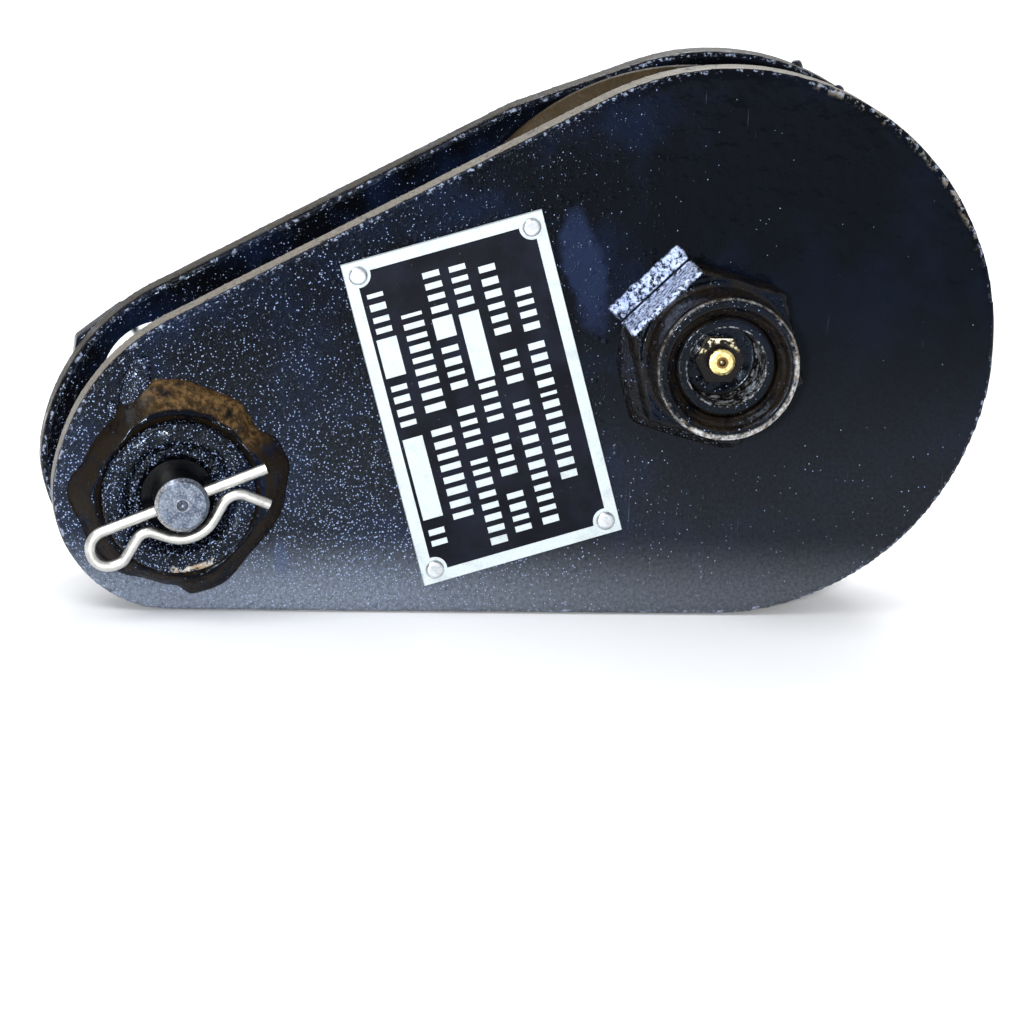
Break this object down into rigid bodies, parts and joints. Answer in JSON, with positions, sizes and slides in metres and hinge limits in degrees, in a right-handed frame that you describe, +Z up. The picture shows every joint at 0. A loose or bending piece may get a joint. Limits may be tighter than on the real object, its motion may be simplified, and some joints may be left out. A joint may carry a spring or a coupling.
{
  "type": "snatch block",
  "caption": "Small hookless tail-board snatch block: two black teardrop cheek plates, one bushed sheave, hexagon hub with grease nipple, and a removable tail pin with R-clip.",
  "frame": {"origin": "on the hub axis, midway between the two cheeks, at the centre of the sheave's rope groove", "axes": "+Z up when the block stands on the long straight edge of its cheeks; +X from the tail pin towards the big end; +Y along the hub axis to the back cheek, so -Y faces the name plate side"},
  "size_m": [0.2051, 0.0749, 0.1212],
  "materials": {
    "black_paint": "thick glossy black enamel with a dark blue tint, worn to bare steel on edges",
    "pin_steel": "turned steel",
    "bright_steel": "bright plated steel",
    "zinc_wire": "zinc-plated spring wire",
    "brass": "machined brass",
    "bronze": "cast and bored bearing bronze",
    "plate_aluminium": "satin sheet with a black printed field",
    "sheave_steel": "primed and rope-worn forged steel"
  },
  "bodies": {
    "frame": {"front_cheek": "black_paint", "back_cheek": "black_paint", "centre_pin": "pin_steel", "hub_nut": "black_paint", "hub_weld": "black_paint", "grease_nipple": "brass", "nipple_spring": "bright_steel", "front_tail_boss": "black_paint", "front_tail_weld": "black_paint", "rear_tail_pad": "black_paint", "front_inner_boss": "black_paint", "front_inner_weld": "black_paint", "rear_inner_boss": "black_paint", "rear_inner_weld": "black_paint", "name_plate": "plate_aluminium", "name_plate_rivets": "bright_steel"},
    "sheave": {"sheave": "sheave_steel", "sheave_bushing": "bronze"},
    "front_washer": {"front_thrust_washer": "bronze"},
    "rear_washer": {"rear_thrust_washer": "bronze"},
    "tail_pin": {"tail_pin": "pin_steel"},
    "r_clip": {"r_clip": "zinc_wire"},
    "nipple_ball": {"nipple_ball": "bright_steel"}
  },
  "joints": [
    {"name": "sheave_spin", "type": "hinge", "parent": "frame", "child": "sheave", "pos_m": [0, 0, 0], "axis": [0, 1, 0], "continuous": true},
    {"name": "front_washer_spin", "type": "hinge", "parent": "frame", "child": "front_washer", "pos_m": [0, -0.0119, 0], "axis": [0, 1, 0], "continuous": true},
    {"name": "rear_washer_spin", "type": "hinge", "parent": "frame", "child": "rear_washer", "pos_m": [0, 0.0119, 0], "axis": [0, 1, 0], "continuous": true},
    {"name": "tail_pin_turn", "type": "hinge", "parent": "frame", "child": "tail_pin", "pos_m": [-0.11455, 0, -0.0332], "axis": [0, 1, 0], "continuous": true},
    {"name": "r_clip_pull", "type": "slide", "parent": "tail_pin", "child": "r_clip", "axis": [-0.9239, 0, -0.3827], "range_m": [0, 0.028], "deforming": ["r_clip"]},
    {"name": "nipple_ball_press", "type": "slide", "parent": "frame", "child": "nipple_ball", "axis": [0, 1, 0], "range_m": [0, 0.0009], "stiffness_N_per_m": 300, "springref_m": -0.001, "deforming": ["nipple_spring"]}
  ]
}
